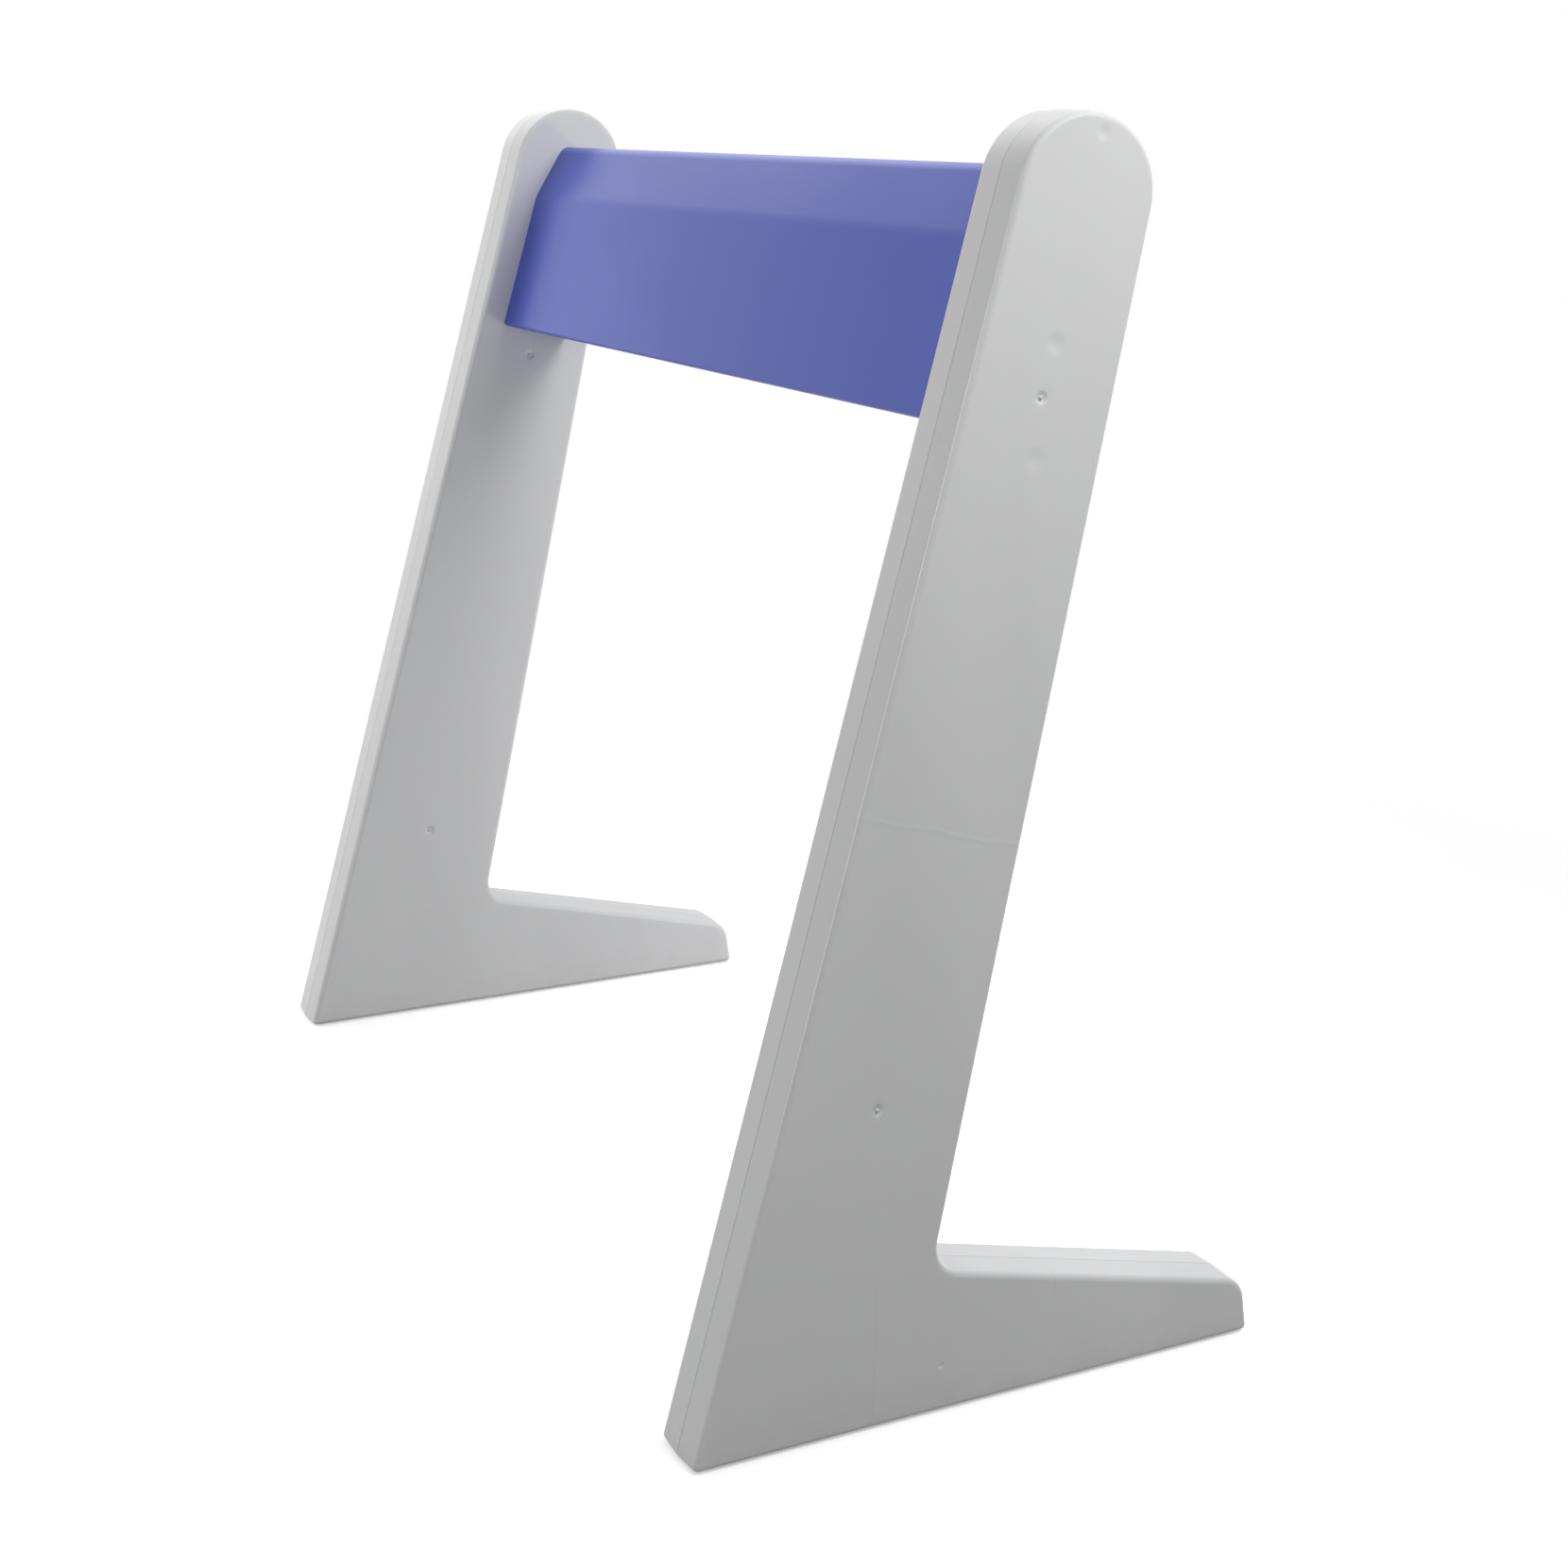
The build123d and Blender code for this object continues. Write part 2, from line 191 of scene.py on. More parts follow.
softbox("Above the right leg", (1.33, 0.5, 1.68), (0.52, 0.05, 0.8), 0.8, 0.8, 17.0)
softbox("Above the left leg", (0.0, 0.6, 1.7), (-0.5, 0.1, 0.1), 0.8, 0.8, 4.8)
softbox("High left", (-1.2, -0.8, 2.2), (-0.2, 0.0, 0.6), 1.4, 1.4, 10.0)
softbox("Low left", (-2.2, -1.0, 0.6), (0.0, 0.0, 0.4), 1.4, 1.2, 30.5)
softbox("Low back", (0.1, 1.0, 0.2), (-0.5, 0.1, 0.1), 0.6, 0.3, 5.4)
softbox("Front", (-0.1, -2.5, 1.1), (0.0, 0.0, 0.5), 0.6, 1.5, 4.8)
softbox("Strip in front", (0.05, -2.38, 1.0), (0.5, 0.1, 0.5), 0.6, 1.9, 40.0, lights=False, mirrored=True)
softbox("Left haze", (-1.6, -0.35, 0.95), (-0.2, 0.1, 0.85), 0.7, 0.8, 0.35, lights=False, mirrored=True)
softbox("Front right", (1.9, -1.9, 1.4), (0.1, 0.0, 0.5), 0.8, 0.8, 10.0, mirrored=True)
softbox("Left panel", (-1.95, 0.15, 2.2), (0.0, 0.0, 0.93), 1.6, 2.2, 8.2, mirrored=True)

# %% Floor
floor_reach, floor_fade_from, floor_fade_to = 30.0, 0.75, 1.8
floor_white, floor_seen_lift, floor_bounce = 0.9, 0.36, 0.32

bm = bmesh.new()
bmesh.ops.create_grid(bm, x_segments=1, y_segments=1, size=floor_reach)
floor_mesh = bpy.data.meshes.new("Floor")
bm.to_mesh(floor_mesh)
bm.free()
floor = bpy.data.objects.new("Floor", floor_mesh)
bpy.context.scene.collection.objects.link(floor)

sheet = bpy.data.materials.new("Studio floor")
sheet.use_nodes = True
nodes, links = sheet.node_tree.nodes, sheet.node_tree.links
nodes.clear()
place = nodes.new("ShaderNodeTexCoord")
away = nodes.new("ShaderNodeVectorMath")
away.operation = "LENGTH"
fade = nodes.new("ShaderNodeMapRange")
fade.interpolation_type = "SMOOTHSTEP"
fade.inputs["From Min"].default_value = floor_fade_from
fade.inputs["From Max"].default_value = floor_fade_to
matt = nodes.new("ShaderNodeBsdfDiffuse")
matt.inputs["Color"].default_value = (*[floor_white] * 3, 1)
lift = nodes.new("ShaderNodeEmission")
lift.inputs["Strength"].default_value = floor_seen_lift
near_look = nodes.new("ShaderNodeAddShader")
far_look = nodes.new("ShaderNodeEmission")
far_look.inputs["Strength"].default_value = 1.0
looks = nodes.new("ShaderNodeMixShader")
bounce = nodes.new("ShaderNodeBsdfDiffuse")
bounce.inputs["Color"].default_value = (*[floor_bounce] * 3, 1)
pick = nodes.new("ShaderNodeMixShader")
out = nodes.new("ShaderNodeOutputMaterial")
links.new(place.outputs["Object"], away.inputs[0])
links.new(away.outputs["Value"], fade.inputs["Value"])
links.new(matt.outputs[0], near_look.inputs[0])
links.new(lift.outputs[0], near_look.inputs[1])
links.new(fade.outputs["Result"], looks.inputs["Fac"])
links.new(near_look.outputs[0], looks.inputs[1])
links.new(far_look.outputs[0], looks.inputs[2])
links.new(seen_rays(sheet.node_tree, clear_rays[:2]), pick.inputs["Fac"])
links.new(bounce.outputs[0], pick.inputs[1])
links.new(looks.outputs[0], pick.inputs[2])
links.new(pick.outputs[0], out.inputs["Surface"])
floor.data.materials.append(sheet)
floor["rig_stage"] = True
bpy.context.scene.view_settings.view_transform = "Standard"
print("floor reaches", floor_reach, "m")

# %% [markdown]
# ## Measures
# Widths and places come from the frame, so that the shells land on their CAD bodies. The angles and radii
# of the mouldings can't be read from a box, so they are given here once.

# %% Measures from the frame
outer_low, outer_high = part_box("right_leg_outer_shell")
inner_low, inner_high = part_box("right_leg_inner_shell")
rail_low, rail_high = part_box("rail_front_shell")
half_thickness = outer_high.x - outer_low.x
parting_x = outer_low.x
rail_end_x = rail_high.x
base_z = outer_low.z
leg_height = round(outer_high.z - outer_low.z, 4)
print("outer half:", round(half_thickness, 4), "inner half:", round(inner_high.x - inner_low.x, 4))
print("parting at", round(parting_x, 4), "rail from", round(rail_low.x, 4), "to", round(rail_end_x, 4))

# %% Measures of the mouldings
touching, merging = 1e-5, 1e-6      # how near counts as the same place, and as the same vertex
shell_wall = 0.003
shell_draft = math.radians(2.0)
edge_radius = 0.005
seam_width, seam_depth = 0.0003, 0.0012
front_lean, back_lean = math.radians(14.4), math.radians(11.0)
top_radius = 0.0595
knee_height, knee_radius = 0.121, 0.025
foot_slope, toe_tilt, toe_radius = math.radians(13.5), math.radians(9.0), 0.025
foot_length = 0.5156

top_centre_depth = (leg_height - top_radius) * math.tan(front_lean) + top_radius / math.cos(front_lean)
back_at_top = top_centre_depth + top_radius / math.cos(back_lean)
back_reach = (leg_height - top_radius - knee_height) * math.tan(back_lean)
knee_depth = back_at_top - back_reach
toe_height = (knee_height - (foot_length - knee_depth) * math.tan(foot_slope)) / (
    1 - math.tan(toe_tilt) * math.tan(foot_slope)
)
heel_y = outer_low.y + edge_radius - edge_radius / math.tan((math.pi / 2 - front_lean) / 2)


def on_side(depth, height, out=0.0):
    """The point this far from the heel, above the leg's base and out from the parting plane."""
    return Vector((out, depth + heel_y, height + base_z))


def middle_line(height):
    """The depth midway between the upright's front and back lines."""
    return (height * math.tan(front_lean) + knee_depth + (height - knee_height) * math.tan(back_lean)) / 2


print("knee at", round(knee_depth, 4), "toe top at", round(toe_height, 4))

# %% [markdown]
# ## An outline with exact rounds
# The leg's side is one flat outline: straight runs joined by round corners. Bevelling a corner of a flat
# face is the quick way, but where the turn isn't a right angle the result isn't a true arc. Here each round
# is one vertex, spun about the round's own centre. Straight edges then join the rounds, ready to be filled.

# %% Helper: rounded outline
def rounded_outline(bm, corners, radii, steps, closed=True):
    """Edges through the corners in order, each rounded by a spun vertex. An open run's ends stay sharp."""
    ends = []
    for i, (corner, radius) in enumerate(zip(corners, radii)):
        is_end = not closed and i in (0, len(corners) - 1)
        if is_end or radius == 0:
            start = bmesh.ops.create_vert(bm, co=corner)["vert"][0]
            ends.append((start, start))
            continue
        back = (corners[i - 1] - corner).normalized()
        ahead = (corners[(i + 1) % len(corners)] - corner).normalized()
        turn = math.pi - back.angle(ahead)
        centre = corner + (back + ahead).normalized() * (radius / math.cos(turn / 2))
        tangent = radius * math.tan(turn / 2)
        start = bmesh.ops.create_vert(bm, co=corner + back * tangent)["vert"][0]
        axis = (start.co - centre).cross(corner + ahead * tangent - centre).normalized()
        spun = bmesh.ops.spin(bm, geom=[start], cent=centre, axis=axis, angle=turn, steps=steps[i])
        ends.append((start, spun["geom_last"][0]))
    joined = ends if closed else ends[:-1]
    for i, (_, last) in enumerate(joined):
        bmesh.ops.contextual_create(bm, geom=[last, ends[(i + 1) % len(ends)][0]])


# %% The leg's outline
leg_corners = [
    on_side(0, 0),
    on_side(leg_height * math.tan(front_lean), leg_height),
    on_side(knee_depth + (leg_height - knee_height) * math.tan(back_lean), leg_height),
    on_side(knee_depth, knee_height),
    on_side(foot_length - toe_height * math.tan(toe_tilt), toe_height),
    on_side(foot_length, 0),
]
leg_rounds = [0, top_radius, top_radius, knee_radius, toe_radius, 0]
leg_steps = [1, 18, 22, 16, 14, 1]

bm = bmesh.new()
rounded_outline(bm, leg_corners, leg_rounds, leg_steps)
print("outline:", len(bm.verts), "vertices,", len(bm.edges), "edges,",
      "open ends:", sum(len(v.link_edges) != 2 for v in bm.verts))
bm.free()

# %% [markdown]
# ## The body of a half shell
# A moulded half has draft: its wall leans in by two degrees, so that it leaves the mould. Insetting a face
# with a depth does both at once, the wall and its lean. The same move makes every further step. The outer
# edge is bevelled round. At the parting face a tiny inset makes half of the seam's groove, another makes the
# rim, and a last inset with a negative depth sinks the cavity, so each half is a true closed shell.

# %% Helper: body of a half shell
edge_segments = 6
short_edge = 0.4 * shell_wall    # an inset leaves edges this short in the tight rounds, and they are merged
half_edge_turn = (math.pi / 2 - shell_draft) / 2
outwards = Vector((1, 0, 0))


def step_in(bm, face, sideways, deep):
    """Insets a flat face by a width and moves it along its normal, and gives back the new ring of faces."""
    return bmesh.ops.inset_region(
        bm, faces=[face], thickness=sideways, depth=deep, use_boundary=True, use_even_offset=True
    )["faces"]


def half_body(bm):
    """A closed hollow half shell, parting face at x = 0 and outside towards +X."""
    rounded_outline(bm, [c + outwards * seam_width for c in leg_corners], leg_rounds, leg_steps)
    face = bmesh.ops.contextual_create(bm, geom=bm.edges[:])["faces"][0]
    face.normal_update()
    if face.normal.x < 0:
        bmesh.ops.reverse_faces(bm, faces=[face])
    body_depth = half_thickness - seam_width
    step_in(bm, face, body_depth * math.tan(shell_draft), body_depth)

    bm.normal_update()
    corner_places = [leg_corners[0], leg_corners[-1]]
    upright_edges = [
        e for e in bm.edges
        if abs((e.verts[0].co - e.verts[1].co).normalized().x) > 0.9
        and any((min(e.verts, key=lambda v: v.co.x).co - p).length < 2 * seam_width for p in corner_places)
    ]
    bmesh.ops.bevel(
        bm, geom=face.edges[:] + upright_edges, offset=edge_radius * math.tan(half_edge_turn),
        offset_type="OFFSET", segments=edge_segments, profile=0.5, affect="EDGES", material=-1,
    )

    rim_edges = [e for e in bm.edges if e.is_boundary]
    cap = bmesh.ops.contextual_create(bm, geom=rim_edges)["faces"][0]
    cap.normal_update()
    if cap.normal.x > 0:
        bmesh.ops.reverse_faces(bm, faces=[cap])
    step_in(bm, cap, seam_depth, seam_width)
    step_in(bm, cap, shell_wall - seam_depth, 0)
    bmesh.ops.remove_doubles(bm, verts=cap.verts[:], dist=short_edge)
    cap = next(f for f in bm.faces if f.normal.x < -0.999 and len(f.verts) > 8)
    cavity_depth = half_thickness - shell_wall
    step_in(bm, cap, cavity_depth * math.tan(shell_draft), -cavity_depth)
    bm.normal_update()


bm = bmesh.new()
half_body(bm)
print("half body:", len(bm.faces), "faces, closed:", all(e.is_manifold for e in bm.edges),
      "volume", round(bm.calc_volume() * 1e6, 1), "cm3")
bm.free()

# %% [markdown]
# ## Marks in a flat face
# Moulded faces carry small marks: the gate where the plastic came in is a shallow dish with a nub, and over
# thick spots inside the face sinks a little. A boolean could cut a dish, but it leaves long thin triangles
# that shade badly. Here four planes cut a square window in the face, a profile is spun into a round patch,
# and the patch's rim is bridged to the window, so that rings of even faces carry the shape.

# %% Helper: window and patch
upright_lean = math.atan((math.tan(front_lean) + math.tan(back_lean)) / 2)
along = Vector((0, math.sin(upright_lean), math.cos(upright_lean)))
across = Vector((0, math.cos(upright_lean), -math.sin(upright_lean)))
patch_segments = 32
window_share = 1.25      # half the window's width, as a share of the patch's radius


def face_under(bm, place):
    """The flat face that holds a point."""
    near = [f for f in bm.faces if abs(f.normal.x) > 0.999 and abs(f.verts[0].co.x - place.x) < touching]
    return next(f for f in near if bmesh.geometry.intersect_face_point(f, place))


def cut_window(bm, place, reach):
    """Cuts a square hole in the flat face round a point, and gives back its edges."""
    for direction in (along, -along, across, -across):
        face = face_under(bm, place)
        bmesh.ops.bisect_plane(
            bm, geom=[face, *face.edges, *face.verts], plane_co=place + direction * reach, plane_no=direction
        )
        bm.normal_update()
    face = face_under(bm, place)
    edges = face.edges[:]
    bmesh.ops.delete(bm, geom=[face], context="FACES_ONLY")
    return edges


def spun_patch(bm, place, profile):
    """Spins (radius, height) points about +X through a point, and gives back the patch's rim."""
    verts = [
        bmesh.ops.create_vert(bm, co=place + outwards * h + across * r)["vert"][0] for r, h in profile
    ]
    edges = [bmesh.ops.contextual_create(bm, geom=pair)["edges"][0] for pair in zip(verts, verts[1:])]
    bmesh.ops.spin(
        bm, geom=verts + edges, cent=place, axis=outwards, angle=math.tau, steps=patch_segments,
        use_merge=True,
    )
    rim_radius = profile[-1][0]
    patch = [v for v in bm.verts if (v.co - place).length < rim_radius + touching]
    bmesh.ops.remove_doubles(bm, verts=patch, dist=merging)
    return [
        e for e in bm.edges
        if e.is_boundary and all(abs((v.co - place).length - rim_radius) < touching for v in e.verts)
    ]


def add_mark(bm, place, profile):
    """Lets a spun patch into the flat face round a point."""
    window = cut_window(bm, place, profile[-1][0] * window_share)
    rim = spun_patch(bm, place, profile)
    bmesh.ops.bridge_loops(bm, edges=window + rim)
    bm.normal_update()


# %% The marks' profiles
gate_radius, gate_depth, nub_radius, nub_rise = 0.0052, 0.0018, 0.0015, 0.0003
halo_radius, halo_depth = 0.011, 0.00025
nub_turns = [math.radians(a) for a in range(0, 73, 12)]
dish_radii = (0.0018, 0.0024, 0.0031, 0.0038, 0.0045, gate_radius)
halo_shares = (0.08, 0.3, 0.6, 1.0)


def gate_profile():
    """A nub a little proud of the face, in a dish, in a slightly sunk halo."""
    nub = [(nub_radius * math.sin(a), nub_rise + nub_radius * (math.cos(a) - 1)) for a in nub_turns]
    dish = [(r, -halo_depth - (gate_depth - halo_depth) * (1 - (r / gate_radius) ** 2)) for r in dish_radii]
    halo = [(gate_radius + (halo_radius - gate_radius) * t, -halo_depth * (1 - t) ** 2) for t in halo_shares]
    return nub + dish + halo


def sink_profile(radius, depth, rings):
    """A soft round hollow."""
    steps = [i / rings for i in range(rings + 1)]
    return [(radius * t, -depth * (0.5 + 0.5 * math.cos(math.pi * t))) for t in steps]


print("gate profile:", len(gate_profile()), "points")

# %% [markdown]
# ## Tools for the insides
# Ribs, sockets and screw posts meet walls that are curved or leaning, where no flat window could be cut, so
# these few are joined and bored by booleans. Each tool is a closed block or rod that ends inside a wall,
# never level with its skin, and so the shells' outsides stay as they are.

# %% Helper: tools and booleans
overlap = 0.001          # how far a cutting tool starts outside what it cuts
rod_segments = 28


def tool_from(name, bm):
    """Makes an object of a mesh for a boolean to use, and lets the mesh go."""
    bmesh.ops.recalc_face_normals(bm, faces=bm.faces[:])
    mesh = bpy.data.meshes.new(name)
    bm.to_mesh(mesh)
    bm.free()
    tool = bpy.data.objects.new(name, mesh)
    bpy.context.scene.collection.objects.link(tool)
    return tool


def prism(bm, corners, radii, steps, depth, trim=0.0):
    """A closed block on a rounded outline, reaching this far along +X, its outline moved in by the trim."""
    before = set(bm.edges)
    rounded_outline(bm, corners, radii, steps)
    face = bmesh.ops.contextual_create(bm, geom=[e for e in bm.edges if e not in before])["faces"][0]
    if trim:
        bmesh.ops.delete(bm, geom=step_in(bm, face, trim, 0), context="FACES")
    made = bmesh.ops.extrude_face_region(bm, geom=[face])["geom"]
    bmesh.ops.translate(bm, vec=(depth, 0, 0), verts=[v for v in made if isinstance(v, bmesh.types.BMVert)])


def rods(name, radius, runs):
    """Round rods, each from one point to another."""
    bm = bmesh.new()
    for start, end in runs:
        turned = (end - start).to_track_quat("Z", "Y").to_matrix().to_4x4()
        bmesh.ops.create_cone(
            bm, cap_ends=True, segments=rod_segments, radius1=radius, radius2=radius,
            depth=(end - start).length, matrix=Matrix.Translation((start + end) / 2) @ turned,
        )
    return tool_from(name, bm)


def boolean(mesh_object, tool, operation):
    """Joins or cuts with another object, keeps the result as plain mesh, and removes the tool."""
    step = mesh_object.modifiers.new(operation, "BOOLEAN")
    step.operation, step.solver, step.object = operation, "EXACT", tool
    bpy.context.view_layer.update()
    evaluated = mesh_object.evaluated_get(bpy.context.evaluated_depsgraph_get())
    result = bpy.data.meshes.new_from_object(evaluated)
    mesh_object.modifiers.clear()
    mesh_object.data = result
    bpy.data.objects.remove(tool)


def taken_back(mesh_object):
    """The object's mesh, to be edited again. The object goes."""
    bm = bmesh.new()
    bm.from_mesh(mesh_object.data)
    bpy.data.objects.remove(mesh_object)
    bmesh.ops.remove_doubles(bm, verts=bm.verts[:], dist=merging)
    return bm


# %% [markdown]
# ## The four leg shells
# The outer half has two gates on the upright's middle line, soft sinks near the joint with the rail and at
# the top, and a dot on the foot. The inner half has its own gates, a dot of its own and the four holes for
# the joint's bolts. Inside are the ribs and the sockets of the press pins. Each half is made once and
# mirrored for the other leg, and every finished shell has its normals turned outwards again.

# %% Marks of the halves
rail_drop = 0.24         # from the leg's top down to the rail's foot
rail_base_height = leg_height - rail_drop
outer_gate_heights = (rail_base_height + 0.033, 0.262)
inner_gate_heights = (rail_base_height - 0.025, 0.209)
outer_sinks = [              # depth and height of the place, radius and depth of the hollow
    (0.2798, 0.8322, 0.011, 0.0009),
    (0.2651, 0.7481, 0.012, 0.0007),
    (0.3135, 0.9835, 0.008, 0.0008),
]
outer_dot, inner_dot = (0.2131, 0.0392, 0.0035, 0.0010), (0.1282, 0.1157, 0.0035, 0.0006)
dot_rings = 5


def gates(heights):
    """A gate's profile at each height on the upright's middle line."""
    return [(on_side(middle_line(height), height, half_thickness), gate_profile()) for height in heights]


def sinks(hollows, rings=8):
    """A soft hollow at each place on the leg's flat face."""
    return [(on_side(depth, height, half_thickness), sink_profile(radius, sunk, rings))
            for depth, height, radius, sunk in hollows]


marks = {
    "outer": [*gates(outer_gate_heights), *sinks(outer_sinks), *sinks([outer_dot], dot_rings)],
    "inner": [*gates(inner_gate_heights), *sinks([inner_dot], dot_rings)],
}
print("marks:", {half: len(found) for half, found in marks.items()})

# %% Ribs inside a half
rib_thickness, rib_gap, rib_pitch, rib_trim = 0.002, 0.0002, 0.092, 0.0024
rib_end = half_thickness - shell_wall + rib_gap
rung_depth = 0.2         # the middle of each rung before it is trimmed
slab_length = 2.4 * leg_height
joint_centre = 0.074     # along the upright, from the rail's foot to the middle of its joint
joint_middle = on_side(middle_line(rail_base_height), rail_base_height) + along * joint_centre
bed_half_width, bed_half_length, bed_radius, bed_steps = 0.0285, 0.0595, 0.0065, 6
square = ((-1, -1), (1, -1), (1, 1), (-1, 1))


def slabs(name, middles, up):
    """Thin walls through points, each square to a direction of the leg's side."""
    bm = bmesh.new()
    turned = Matrix((outwards, outwards.cross(up), up)).transposed().to_4x4()
    size = Matrix.Diagonal((rib_end - rib_gap, slab_length, rib_thickness, 1))
    for middle in middles:
        shifted = Matrix.Translation(middle + outwards * ((rib_end + rib_gap) / 2))
        bmesh.ops.create_cube(bm, size=1.0, matrix=shifted @ turned @ size)
    return tool_from(name, bm)


def around_joint(half_width, half_length, out=0.0):
    """The corners of a rectangle about the joint's middle."""
    return [joint_middle + across * half_width * i + along * half_length * j + outwards * out
            for i, j in square]


def ribs(with_bed):
    """The rungs and the spine, trimmed inside the leg's wall, and cleared where the joint's plate lies."""
    heights = [rib_pitch * i for i in range(1, int(leg_height / rib_pitch) + 1)] + [toe_height * 2 / 3]
    lattice = slabs("rungs", [on_side(rung_depth, height) for height in heights], Vector((0, 0, 1)))
    boolean(lattice, slabs("spine", [joint_middle], across), "UNION")
    bm = bmesh.new()
    corners = [c - outwards * overlap for c in leg_corners]
    prism(bm, corners, leg_rounds, leg_steps, half_thickness, trim=rib_trim)
    boolean(lattice, tool_from("core", bm), "INTERSECT")
    if with_bed:
        bm = bmesh.new()
        corners = around_joint(bed_half_width, bed_half_length, -overlap)
        prism(bm, corners, [bed_radius] * len(square), [bed_steps] * len(square), half_thickness)
        boolean(lattice, tool_from("bed", bm), "DIFFERENCE")
    return lattice


# %% Sockets and bolt holes inside a half
socket_radius, pin_hole_radius, pin_hole_depth = 0.00605, 0.00355, 0.0203
top_pin_drop, joint_pin_drop = 0.038, 0.015
foot_pin, toe_pin_back, toe_pin_height = (0.213, 0.040), 0.0856, 0.033
upright_pins = (leg_height - top_pin_drop, rail_base_height + joint_centre * math.cos(upright_lean),
                rail_base_height - joint_pin_drop, 0.480, 0.116)
pin_places = [
    *[on_side(middle_line(height), height) for height in upright_pins],
    on_side(*foot_pin),
    on_side(foot_length - toe_pin_back, toe_pin_height),
]
bolt_across, bolt_along, bolt_hole_radius, bolt_reach = 0.034, 0.092, 0.0043, 0.04


def pin_rods(name, radius, start, end):
    """Rods at the pins' places between two depths of the half."""
    return rods(name, radius, [(p + outwards * start, p + outwards * end) for p in pin_places])


def bolt_rods():
    """Rods through the flat face where the joint's four bolts pass."""
    spots = around_joint(bolt_across / 2, bolt_along / 2)
    return rods("bolt holes", bolt_hole_radius, [(p, p + outwards * bolt_reach) for p in spots])


print("pins:", len(pin_places), "ribs end at", round(rib_end, 4))

# %% Helper: a finished piece
sharp_turn = math.radians(32)
even_weight, even_threshold = 100, 0.0002    # the largest faces alone set the shading


def piece_from(bm, name, place_matrix, stands_for, material_slot):
    """Finishes a mesh in its own place and makes it an object that rides on the barricade."""
    bmesh.ops.transform(bm, matrix=place_matrix, verts=bm.verts[:])
    bmesh.ops.recalc_face_normals(bm, faces=bm.faces[:])
    mesh = bpy.data.meshes.new(name)
    bm.to_mesh(mesh)
    mesh.shade_smooth()
    mesh.set_sharp_from_angle(angle=sharp_turn)
    piece = bpy.data.objects.new(name, mesh)
    bpy.context.scene.collection.objects.link(piece)
    even = piece.modifiers.new("Even shading", "WEIGHTED_NORMAL")
    even.keep_sharp, even.weight, even.thresh = True, even_weight, even_threshold
    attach(piece, "root")
    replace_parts(piece, stands_for)
    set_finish(piece, material_slot)
    return piece


# %% Build the leg shells
leg_pieces = []
for half in ("outer", "inner"):
    bm = bmesh.new()
    half_body(bm)
    for place, profile in marks[half]:
        add_mark(bm, place, profile)
    shell = tool_from(half, bm)
    boolean(shell, ribs(half == "inner"), "UNION")
    boolean(shell, pin_rods("sockets", socket_radius, rib_gap, rib_end), "UNION")
    boolean(shell, pin_rods("bores", pin_hole_radius, -overlap, pin_hole_depth), "DIFFERENCE")
    if half == "inner":
        boolean(shell, bolt_rods(), "DIFFERENCE")
    bm = taken_back(shell)
    print(half, "half:", len(bm.faces), "faces, closed:", all(e.is_manifold for e in bm.edges))
    for leg, leg_side in (("right", 1), ("left", -1)):
        facing = leg_side if half == "outer" else -leg_side
        placed = Matrix.Translation((leg_side * parting_x, 0, 0)) @ Matrix.Diagonal((facing, 1, 1, 1))
        copy = bm.copy()
        leg_pieces.append(
            piece_from(copy, f"{leg}_leg_{half}_moulding", placed, f"{leg}_leg_{half}_shell", "leg_grey")
        )
        copy.free()
    bm.free()
print([p.name for p in leg_pieces])

# %% [markdown]
# ## The rail's two shells
# The rail is a hollow leaning board, thick at its foot and narrow at its top, with a soft crease where its
# faces turn in. Each shell is half of its outline, drawn open and extruded along the rail. Solidify gives it
# its wall. Five open bulkheads and eight screw posts stand inside, and the back shell's posts are bored for
# the screws' heads.

# %% The rail's outline
rail_wall = 0.0028
crease_height, rail_depth = 0.1434, 0.203
foot_half, crease_half, top_half = 0.03725, 0.0305, 0.0113
rail_corners = [
    (0, 0), (-foot_half, 0), (-crease_half, crease_height), (-top_half, rail_depth), (0, rail_depth)
]
rail_rounds = [0, 0.004, 0.035, 0.013, 0]
rail_steps = [1, 6, 8, 10, 1]
rail_foot = on_side(middle_line(rail_base_height), rail_base_height)


def on_rail(x, thick, up):
    """The point at x, this far behind the rail's middle plane and this far up its leaning axis."""
    return Vector((x, rail_foot.y, rail_foot.z)) + across * thick + along * up


def half_width(up):
    """How far the rail's face stands from its middle plane, this far up."""
    for (low_w, low), (high_w, high) in zip(rail_corners[1:], rail_corners[2:]):
        if low <= up <= high:
            return abs(low_w + (high_w - low_w) * (up - low) / (high - low))


print("rail half width at its crease:", half_width(crease_height))

# %% Helper: skin of a rail shell
seam_chamfer = 0.0003


